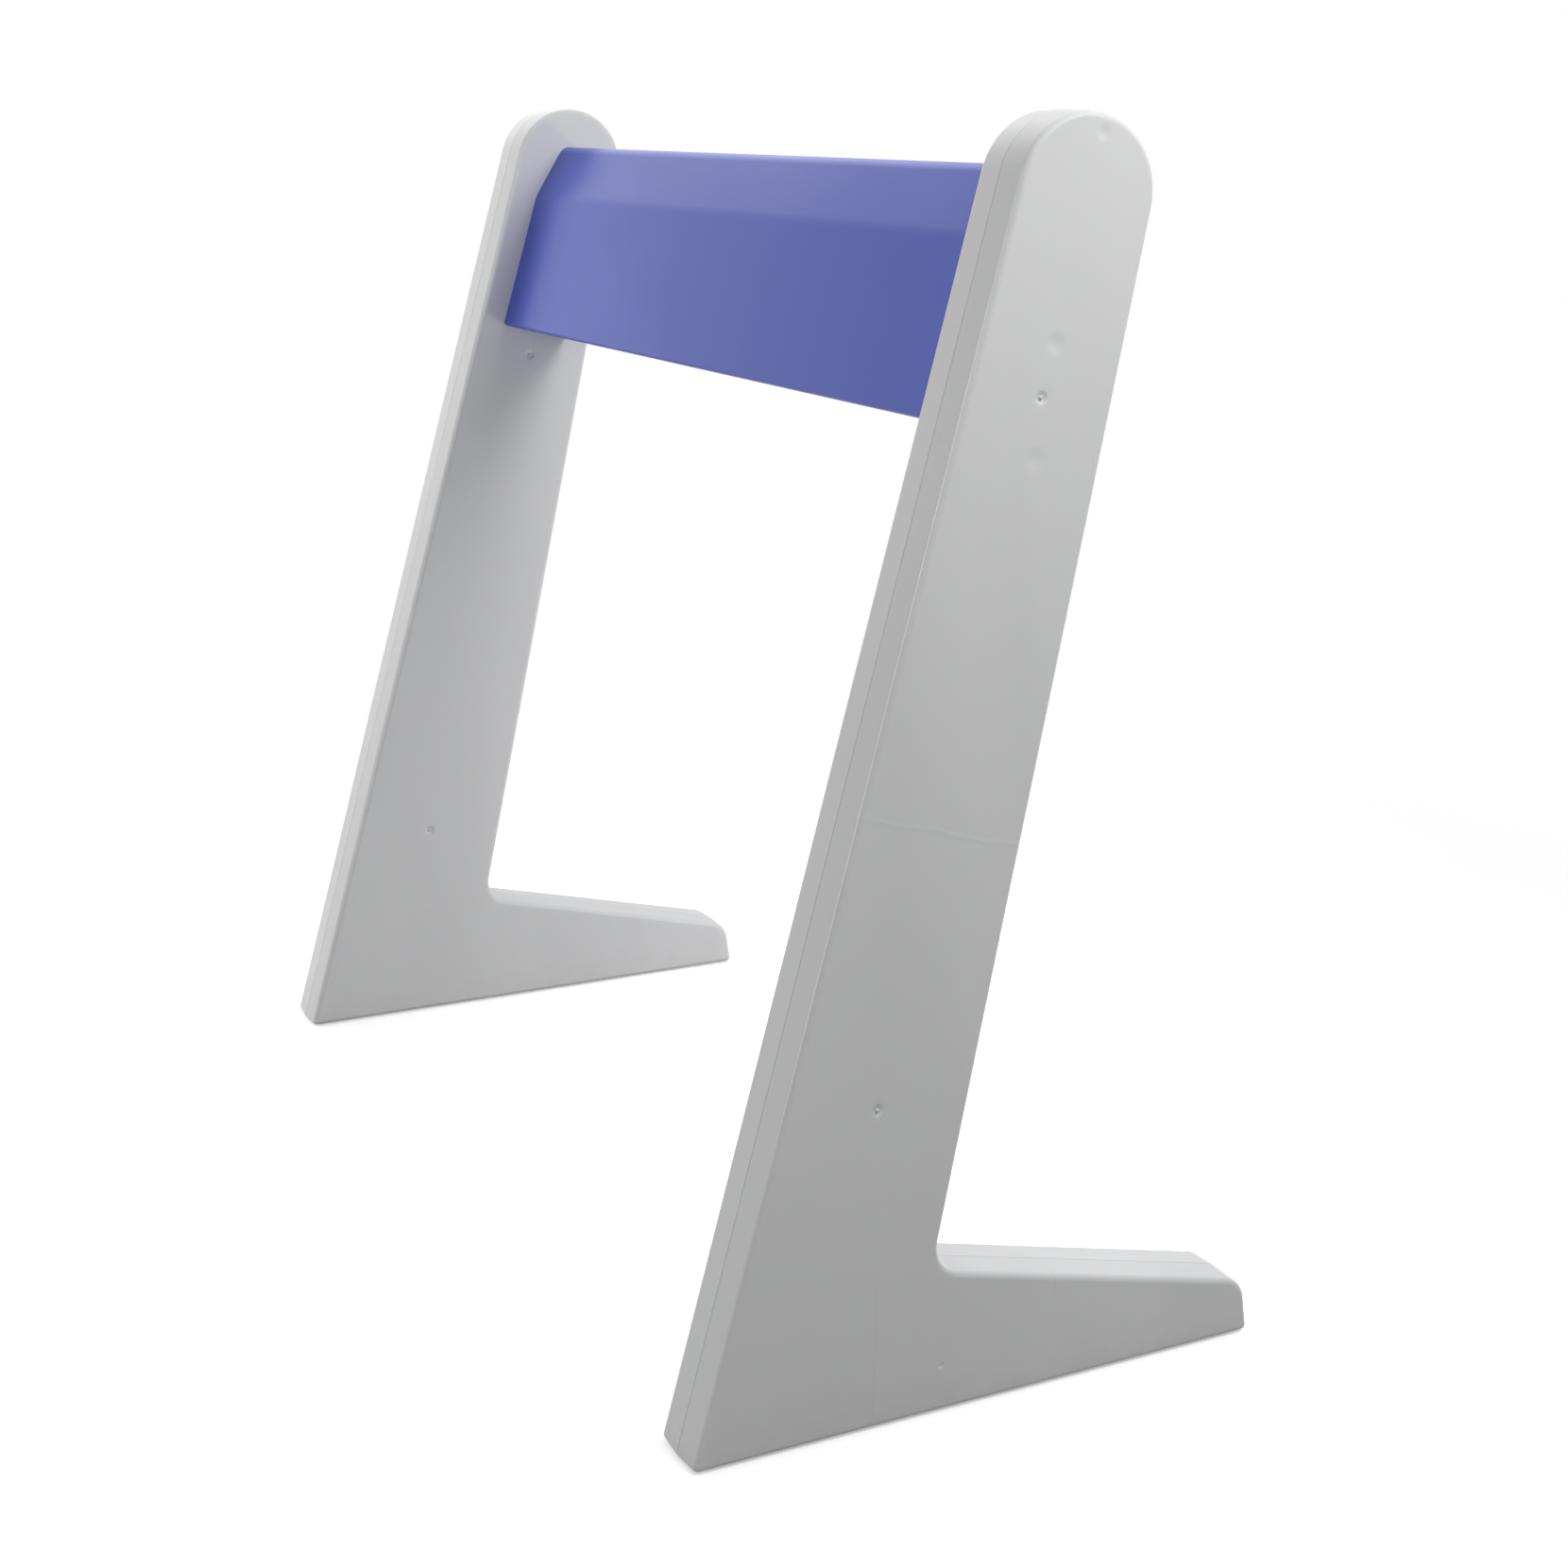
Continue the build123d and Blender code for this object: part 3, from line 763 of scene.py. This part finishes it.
def rail_skin(bm, facing):
    """A rail shell with its wall: facing 1 is in front, -1 behind."""
    corners = [on_rail(-rail_end_x, facing * thick, up) for thick, up in rail_corners]
    rounded_outline(bm, corners, rail_rounds, rail_steps, closed=False)
    made = bmesh.ops.extrude_edge_only(bm, edges=bm.edges[:])["geom"]
    ends = [v for v in made if isinstance(v, bmesh.types.BMVert)]
    bmesh.ops.translate(bm, vec=(2 * rail_end_x, 0, 0), verts=ends)
    bmesh.ops.recalc_face_normals(bm, faces=bm.faces[:])
    board = max(bm.faces, key=lambda f: f.calc_area())
    if board.normal.dot(board.calc_center_median() - on_rail(0, 0, crease_height / 2)) < 0:
        bmesh.ops.reverse_faces(bm, faces=bm.faces[:])
    bmesh.ops.solidify(bm, geom=bm.faces[:], thickness=rail_wall)
    seams = [on_rail(0, 0, up) for up in (0, rail_depth)]
    lines = [
        e for e in bm.edges
        if e.calc_length() > rail_end_x
        and any((e.verts[0].co - s).cross(outwards).length < touching for s in seams)
    ]
    bmesh.ops.bevel(bm, geom=lines, offset=seam_chamfer, offset_type="OFFSET", segments=1, profile=0.5,
                    affect="EDGES", material=-1)
    return len(lines)


for facing in (1, -1):
    bm = bmesh.new()
    seam_lines = rail_skin(bm, facing)
    print("rail skin", facing, "faces", len(bm.faces), "seam lines", seam_lines,
          "closed:", all(e.is_manifold for e in bm.edges), "volume", round(bm.calc_volume() * 1e6, 1), "cm3")
    bm.free()

# %% Places of the screws
screw_spread, screw_rise = (0.131, 0.392), (0.026, 0.148)
screw_places = [(turn * x, up) for turn in (-1, 1) for x in screw_spread for up in screw_rise]
post_radius, bore_radius, pilot_radius = 0.0065, 0.0044, 0.00205
screw_grip, pilot_depth, bore_past_face = 0.008, 0.0143, 0.01


def at_screws(facing, reach_of):
    """The run at each screw, square to the seam, between its two reaches from it."""
    return [[on_rail(x, -facing * reach, up) for reach in reach_of(up)] for x, up in screw_places]


# %% Helper: bulkheads of the rail
bulkhead_thickness, bulkhead_rim, bulkhead_count = 0.0022, 0.006, 5
frame_depth, frame_gap = 0.016, 0.00015      # the joint's frame fills each end of the rail
bulkhead_reach = rail_end_x - frame_depth - frame_gap - bulkhead_thickness


def moved_in(corners, distance):
    """An open run of corners moved in by a distance. Its two ends keep to the seam."""
    points = [Vector(c) for c in corners]
    ways = [(b - a).normalized() for a, b in zip(points, points[1:])]
    normals = [Vector((way.y, -way.x)) for way in ways]
    pairs = zip([normals[0], *normals], [*normals, normals[-1]])
    return [p + (a + b) / (1 + a.dot(b)) * distance for p, (a, b) in zip(points, pairs)]


def bulkheads(facing):
    """Open walls across a rail shell: rims that stand in from the middle of its wall."""
    bm = bmesh.new()
    rim_from, rim_to = rail_wall / 2, rail_wall + bulkhead_rim
    run = [*moved_in(rail_corners, rim_from), *reversed(moved_in(rail_corners, rim_to))]
    radii = [max(0, r - rim_from) for r in rail_rounds] + [max(0, r - rim_to) for r in reversed(rail_rounds)]
    for i in range(bulkhead_count):
        x = bulkhead_reach * (2 * i / (bulkhead_count - 1) - 1) - bulkhead_thickness / 2
        corners = [on_rail(x, facing * thick, up) for thick, up in run]
        prism(bm, corners, radii, rail_steps + rail_steps[::-1], bulkhead_thickness)
    return tool_from("bulkheads", bm)


# %% Build the rail shells
rail_pieces = []
for name, facing in (("front", 1), ("back", -1)):
    bm = bmesh.new()
    rail_skin(bm, facing)
    shell = tool_from(name, bm)
    boolean(shell, bulkheads(facing), "UNION")
    posts = at_screws(facing, lambda up: (0, half_width(up + post_radius) - rail_wall / 2))
    boolean(shell, rods("posts", post_radius, posts), "UNION")
    if facing == 1:
        pilots = at_screws(facing, lambda up: (-overlap, pilot_depth))
        boolean(shell, rods("pilots", pilot_radius, pilots), "DIFFERENCE")
    else:
        shanks = at_screws(facing, lambda up: (-overlap, screw_grip + overlap))
        bores = at_screws(facing, lambda up: (screw_grip, half_width(up) + bore_past_face))
        boolean(shell, rods("shanks", pilot_radius, shanks), "DIFFERENCE")
        boolean(shell, rods("bores", bore_radius, bores), "DIFFERENCE")
    bm = taken_back(shell)
    print(name, "shell:", len(bm.faces), "faces, closed:", all(e.is_manifold for e in bm.edges))
    rail_pieces.append(
        piece_from(bm, f"rail_{name}_moulding", Matrix.Identity(4), f"rail_{name}_shell", "rail_blue")
    )
    bm.free()

# %% Compare the mouldings with the CAD
for piece in [*leg_pieces, *rail_pieces]:
    low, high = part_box(list(piece["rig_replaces"])[0])
    corners = [Vector(c) for c in piece.bound_box]
    gaps = [abs(min(c[i] for c in corners) - low[i]) for i in range(3)]
    gaps += [abs(max(c[i] for c in corners) - high[i]) for i in range(3)]
    print(piece.name, "differs from its CAD box by", round(max(gaps) * 1000, 2), "mm at most")

# %% [markdown]
# ## Shared effects as node groups
# Moulded plastic is never one flat colour. Its skin has a fine grain from the mould, its gloss drifts in
# long cloudy flow marks, handling leaves a few thin scuffs, and dust settles low down. Each effect is one
# node group with a Vector input, so that every material reads it at its own size and strength. The groups
# give out only masks and heights. The shaders stay in the materials.

# %% Helper: node groups
def new_group(name, inputs, outputs):
    """An empty shader group with named sockets, and its two end nodes."""
    group = bpy.data.node_groups.new(name, "ShaderNodeTree")
    for label, value in inputs:
        kind = "NodeSocketVector" if value is None else "NodeSocketFloat"
        socket = group.interface.new_socket(name=label, in_out="INPUT", socket_type=kind)
        if value is not None:
            socket.default_value = value
    for label in outputs:
        group.interface.new_socket(name=label, in_out="OUTPUT", socket_type="NodeSocketFloat")
    return group, group.nodes.new("NodeGroupInput"), group.nodes.new("NodeGroupOutput")


def add_node(tree, kind, links_in=(), **values):
    """A node with its properties set, and its inputs linked or set by name or number."""
    node = tree.nodes.new(kind)
    for key, value in values.items():
        setattr(node, key, value)
    for socket, source in dict(links_in).items():
        if isinstance(source, bpy.types.NodeSocket):
            tree.links.new(source, node.inputs[socket])
        else:
            node.inputs[socket].default_value = source
    return node


def remap(tree, source, low, high, to_low=0.0, to_high=1.0):
    """A value moved from one range to another, and held inside it."""
    ranges = {"Value": source, "From Min": low, "From Max": high, "To Min": to_low, "To Max": to_high}
    return add_node(tree, "ShaderNodeMapRange", ranges, interpolation_type="SMOOTHSTEP").outputs["Result"]


def noise(tree, vector, **values):
    """A noise texture's height. A value is a number or another node's socket."""
    return add_node(tree, "ShaderNodeTexNoise", {"Vector": vector, **values}).outputs[0]


def maths(tree, operation, first, second=0.0, third=0.0):
    """One step of arithmetic on two values."""
    return add_node(tree, "ShaderNodeMath", {0: first, 1: second, 2: third}, operation=operation).outputs[0]


# %% Group: mould grain
broad_share, broad_strength = 0.13, 0.8

grain, given, gives = new_group("Mould grain", [("Vector", None), ("Size", 900.0)], ["Height"])
where, size = given.outputs["Vector"], given.outputs["Size"]
fine = noise(grain, where, Scale=size, Detail=2.0, Roughness=0.55)
broad_size = maths(grain, "MULTIPLY", size, broad_share)
broad = noise(grain, where, Scale=broad_size, Detail=1.0)
grain.links.new(maths(grain, "MULTIPLY_ADD", broad, broad_strength, fine), gives.inputs["Height"])
print("group:", grain.name, [s.name for s in grain.interface.items_tree])

# %% Group: flow marks
flow, given, gives = new_group(
    "Flow marks", [("Vector", None), ("Size", 6.0), ("Stretch", 3.0)], ["Mask", "Height"]
)
drawn_out = add_node(flow, "ShaderNodeCombineXYZ", {0: 1.0, 1: 1.0})
flow.links.new(maths(flow, "DIVIDE", 1.0, given.outputs["Stretch"]), drawn_out.inputs[2])
stretched = add_node(flow, "ShaderNodeVectorMath", {0: given.outputs["Vector"], 1: drawn_out.outputs[0]},
                     operation="MULTIPLY").outputs[0]
clouds = noise(flow, stretched, Scale=given.outputs["Size"], Detail=3.0, Roughness=0.45, Distortion=0.7)
flow.links.new(remap(flow, clouds, 0.32, 0.68), gives.inputs["Mask"])
flow.links.new(clouds, gives.inputs["Height"])
print("group:", flow.name, [s.name for s in flow.interface.items_tree])

# %% Group: scuffs
scuff_tilt = (0.6, 0.3, 0.9)
patch_size = 5.0

scuffs, given, gives = new_group("Scuffs", [("Vector", None), ("Size", 22.0), ("Length", 14.0)], ["Mask"])
where = given.outputs["Vector"]
squeeze = add_node(scuffs, "ShaderNodeCombineXYZ", {0: 1.0, 1: 1.0})
scuffs.links.new(given.outputs["Length"], squeeze.inputs[1])
lines = add_node(scuffs, "ShaderNodeVectorMath", {0: where, 1: squeeze.outputs[0]}, operation="MULTIPLY")
tilted = add_node(scuffs, "ShaderNodeMapping", {"Vector": lines.outputs[0], "Rotation": scuff_tilt})
thin = noise(scuffs, tilted.outputs[0], Scale=given.outputs["Size"], Detail=4.0, Roughness=0.6)
patches = noise(scuffs, where, Scale=patch_size, Detail=2.0)
worn = maths(scuffs, "MULTIPLY", remap(scuffs, thin, 0.62, 0.72), remap(scuffs, patches, 0.5, 0.68))
scuffs.links.new(worn, gives.inputs["Mask"])
print("group:", scuffs.name, [s.name for s in scuffs.interface.items_tree])

# %% Group: dust near the ground
dust_size = 60.0

dust, given, gives = new_group("Ground dust", [("Vector", None), ("Reach", 0.05)], ["Mask"])
where = given.outputs["Vector"]
height = add_node(dust, "ShaderNodeSeparateXYZ", {0: where}).outputs[2]
low_down = maths(dust, "SUBTRACT", 1.0, maths(dust, "DIVIDE", height, given.outputs["Reach"]))
uneven = noise(dust, where, Scale=dust_size, Detail=4.0)
settled = maths(dust, "MULTIPLY", remap(dust, low_down, 0.0, 1.0), remap(dust, uneven, 0.35, 0.75))
dust.links.new(settled, gives.inputs["Mask"])
print("group:", dust.name, [s.name for s in dust.interface.items_tree])

# %% Helper: start of a material
def group_in(tree, group, vector, **values):
    """A group placed in a material, reading a vector, with its own values."""
    node = tree.nodes.new("ShaderNodeGroup")
    node.node_tree = group
    tree.links.new(vector, node.inputs["Vector"])
    for key, value in values.items():
        node.inputs[key].default_value = value
    return node.outputs[0]


def blend_colours(tree, mask, first, second):
    """A mix of two colours, either of which may come from a node."""
    node = tree.nodes.new("ShaderNodeMix")
    node.data_type = "RGBA"
    tree.links.new(mask, node.inputs["Factor"])
    for socket, colour in ((6, first), (7, second)):
        if isinstance(colour, bpy.types.NodeSocket):
            tree.links.new(colour, node.inputs[socket])
        else:
            node.inputs[socket].default_value = (*colour, 1.0)
    return node.outputs[2]


def new_finish(name):
    """A material with a Principled shader and Object coordinates."""
    material = bpy.data.materials.new(name)
    material.use_nodes = True
    tree = material.node_tree
    tree.nodes.clear()
    shader = tree.nodes.new("ShaderNodeBsdfPrincipled")
    output = tree.nodes.new("ShaderNodeOutputMaterial")
    tree.links.new(shader.outputs[0], output.inputs["Surface"])
    coordinates = tree.nodes.new("ShaderNodeTexCoord").outputs["Object"]
    return material, tree, shader, coordinates


def bump(tree, height, depth, under=None):
    """A Bump node of a real depth in metres, over another bump if one is given."""
    node = add_node(tree, "ShaderNodeBump", {"Strength": 1.0, "Distance": depth, "Height": height})
    if under is not None:
        tree.links.new(under, node.inputs["Normal"])
    return node.outputs[0]


# %% [markdown]
# ## Grey leg plastic
# The legs are a satin pale grey. Their colour drifts a little along the flow, the skin is finely grained,
# and half way up the outer face is a weld line, where two fronts of plastic met: a slight ridge across the
# leg. It is far too low to be worth modelling, so a bump draws it.

# %% Finish: grey leg plastic
leg_pale, leg_deep, leg_dusty = (0.603, 0.604, 0.607), (0.567, 0.568, 0.572), (0.46, 0.455, 0.44)
leg_scuff_share, leg_scuff_matt, leg_dust_share = 0.25, 0.10, 0.22
leg_roughness, leg_grain = (0.31, 0.39), 0.000022

leg_plastic, tree, shader, here = new_finish("Grey leg plastic")
drift = group_in(tree, flow, here, Size=5.0, Stretch=4.0)
rubbed = group_in(tree, scuffs, here, Size=22.0, Length=12.0)
dusty = group_in(tree, dust, here, Reach=0.045)
skin = group_in(tree, grain, here, Size=700.0)
clean = blend_colours(tree, drift, leg_pale, leg_deep)
marked = blend_colours(tree, maths(tree, "MULTIPLY", rubbed, leg_scuff_share), clean, leg_dusty)
coloured = blend_colours(tree, maths(tree, "MULTIPLY", dusty, leg_dust_share), marked, leg_dusty)
tree.links.new(coloured, shader.inputs["Base Color"])
gloss = maths(tree, "MULTIPLY_ADD", rubbed, leg_scuff_matt, remap(tree, drift, 0.0, 1.0, *leg_roughness))
tree.links.new(gloss, shader.inputs["Roughness"])
shader.inputs["IOR"].default_value = 1.49
print(leg_plastic.name, len(tree.nodes), "nodes")

# %% The weld line on the legs
weld_start, weld_end = on_side(0.133, 0.488), on_side(0.263, 0.4547)
weld_half_width, weld_rise, weld_wander, wander_size = 0.0032, 0.00013, 0.018, 9.0
face_from, face_to = cad_high.x - 0.002, cad_high.x - 0.0005    # the weld fades in over these depths

weld_run = (weld_end - weld_start).normalized()
weld_square = Vector((0, -weld_run.z, weld_run.y))
across_weld = add_node(tree, "ShaderNodeVectorMath", {0: here, 1: weld_square}, operation="DOT_PRODUCT")
wander = noise(tree, here, Scale=wander_size, Detail=2.0)
weld_place = weld_square.dot(weld_start) + weld_wander / 2
offset = maths(tree, "MULTIPLY_ADD", wander, weld_wander, -weld_place)
from_line = maths(tree, "ABSOLUTE", maths(tree, "ADD", across_weld.outputs["Value"], offset))
sideways = maths(tree, "ABSOLUTE", add_node(tree, "ShaderNodeSeparateXYZ", {0: here}).outputs[0])
on_face = remap(tree, sideways, face_from, face_to)
weld = maths(tree, "MULTIPLY", remap(tree, from_line, 0.0, weld_half_width, 1.0, 0.0), on_face)
tree.links.new(bump(tree, weld, weld_rise, bump(tree, skin, leg_grain)), shader.inputs["Normal"])
print("weld runs", [round(v, 3) for v in weld_run], "from", [round(v, 3) for v in weld_start])

# %% [markdown]
# ## Blue rail plastic
# The rail is the same kind of plastic in a deep blue and with more gloss. Its haze comes from the shine at a
# low angle, not from the colour, so the colour stays deep. The cloudy flow marks go into the roughness, and
# very slightly into the height, so that the shine drifts too.

# %% Finish: blue rail plastic
rail_bright, rail_deep, rail_scuffed = (0.036, 0.074, 0.455), (0.028, 0.060, 0.405), (0.14, 0.17, 0.51)
rail_scuff_share, rail_roughness, rail_ripple, rail_grain = 0.08, (0.285, 0.33), 0.0006, 0.000012
along_rail = (0.0, math.radians(70), 0.0)

rail_plastic, tree, shader, here = new_finish("Blue rail plastic")
turned = add_node(tree, "ShaderNodeMapping", {"Vector": here, "Rotation": along_rail}).outputs[0]
drift = group_in(tree, flow, turned, Size=4.0, Stretch=2.5)
rubbed = group_in(tree, scuffs, here, Size=18.0, Length=10.0)
skin = group_in(tree, grain, here, Size=500.0)
clean = blend_colours(tree, drift, rail_bright, rail_deep)
marked = blend_colours(tree, maths(tree, "MULTIPLY", rubbed, rail_scuff_share), clean, rail_scuffed)
tree.links.new(marked, shader.inputs["Base Color"])
tree.links.new(remap(tree, drift, 0.0, 1.0, *rail_roughness), shader.inputs["Roughness"])
shader.inputs["IOR"].default_value = 1.5
ripple = bump(tree, drift.node.outputs["Height"], rail_ripple)
tree.links.new(bump(tree, skin, rail_grain, ripple), shader.inputs["Normal"])
print(rail_plastic.name, len(tree.nodes), "nodes")

# %% [markdown]
# ## Hidden pieces
# The joint's frames, plates, bolts and nuts, the rail's screws and the press pins are seen only when the
# barricade is opened, and the rubber pads only from below. They still get finishes of their own: matt grey
# nylon, zinc-plated steel with its faint drawn grain, and rubber.

# %% Helper: a plain finish
def dress(tree, shader, drift, colours, roughness, height, depth):
    """Two colours and a range of roughness, mixed by a drifting mask, over a fine bump."""
    coloured = blend_colours(tree, drift, *colours)
    tree.links.new(coloured, shader.inputs["Base Color"])
    tree.links.new(remap(tree, drift, 0.0, 1.0, *roughness), shader.inputs["Roughness"])
    tree.links.new(bump(tree, height, depth), shader.inputs["Normal"])
    return coloured


# %% Finish: grey nylon
nylon_colours = ((0.24, 0.245, 0.255), (0.20, 0.205, 0.215))
nylon_roughness, nylon_grain = (0.52, 0.64), 0.00003

frame_plastic, tree, shader, here = new_finish("Grey nylon")
drift = group_in(tree, flow, here, Size=14.0, Stretch=1.5)
skin = group_in(tree, grain, here, Size=600.0)
dress(tree, shader, drift, nylon_colours, nylon_roughness, skin, nylon_grain)
print(frame_plastic.name, len(tree.nodes), "nodes")

# %% Finish: zinc-plated steel
zinc_colours = ((0.62, 0.64, 0.66), (0.56, 0.56, 0.52))
zinc_roughness, zinc_grain = (0.26, 0.40), 0.00001

zinc, tree, shader, here = new_finish("Zinc-plated steel")
shader.inputs["Metallic"].default_value = 1.0
drift = group_in(tree, flow, here, Size=40.0, Stretch=1.2)
drawn = add_node(tree, "ShaderNodeMapping", {"Vector": here, "Scale": (0.06, 1.0, 1.0)}).outputs[0]
skin = group_in(tree, grain, drawn, Size=1800.0)
dress(tree, shader, drift, zinc_colours, zinc_roughness, skin, zinc_grain)
print(zinc.name, len(tree.nodes), "nodes")

# %% Finish: pad rubber
rubber_colours = ((0.028, 0.028, 0.030), (0.040, 0.040, 0.042))
rubber_roughness, rubber_grain = (0.68, 0.82), 0.00004
pad_dust, pad_dust_share = (0.16, 0.155, 0.145), 0.5

rubber, tree, shader, here = new_finish("Pad rubber")
drift = group_in(tree, flow, here, Size=30.0, Stretch=1.0)
skin = group_in(tree, grain, here, Size=1200.0)
clean = dress(tree, shader, drift, rubber_colours, rubber_roughness, skin, rubber_grain)
dusty = maths(tree, "MULTIPLY", group_in(tree, dust, here, Reach=0.004), pad_dust_share)
tree.links.new(blend_colours(tree, dusty, clean, pad_dust), shader.inputs["Base Color"])
print(rubber.name, len(tree.nodes), "nodes")

# %% Dress every piece
finishes = {"leg_grey": leg_plastic, "rail_blue": rail_plastic, "frame_grey": frame_plastic,
            "zinc_steel": zinc, "pad_rubber": rubber}
kinds = {"pins": "frame_grey", "screws": "zinc_steel", "frame": "frame_grey", "nuts": "zinc_steel",
         "plate": "zinc_steel", "bolts": "zinc_steel", "pad": "pad_rubber", "shell": None}
for piece in [*leg_pieces, *rail_pieces]:
    piece.data.materials.clear()
    piece.data.materials.append(finishes[piece["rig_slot"]])
for name, node in frame["nodes"].items():
    slot = kinds[name.rsplit("_", 1)[1]]
    if slot:
        node.data.materials.clear()
        node.data.materials.append(finishes[slot])

# %% [markdown]
# ## Check the size
# The visible model's box is set beside the CAD model's box, and how much it has grown is printed.

# %% Sizes
seen_low, seen_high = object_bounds()
size = {"cad": [list(cad_low), list(cad_high)], "visual": [list(seen_low), list(seen_high)]}
print("grown by mm:", [round((b - a) * 1000, 2) for a, b in zip(cad_high - cad_low, seen_high - seen_low)])
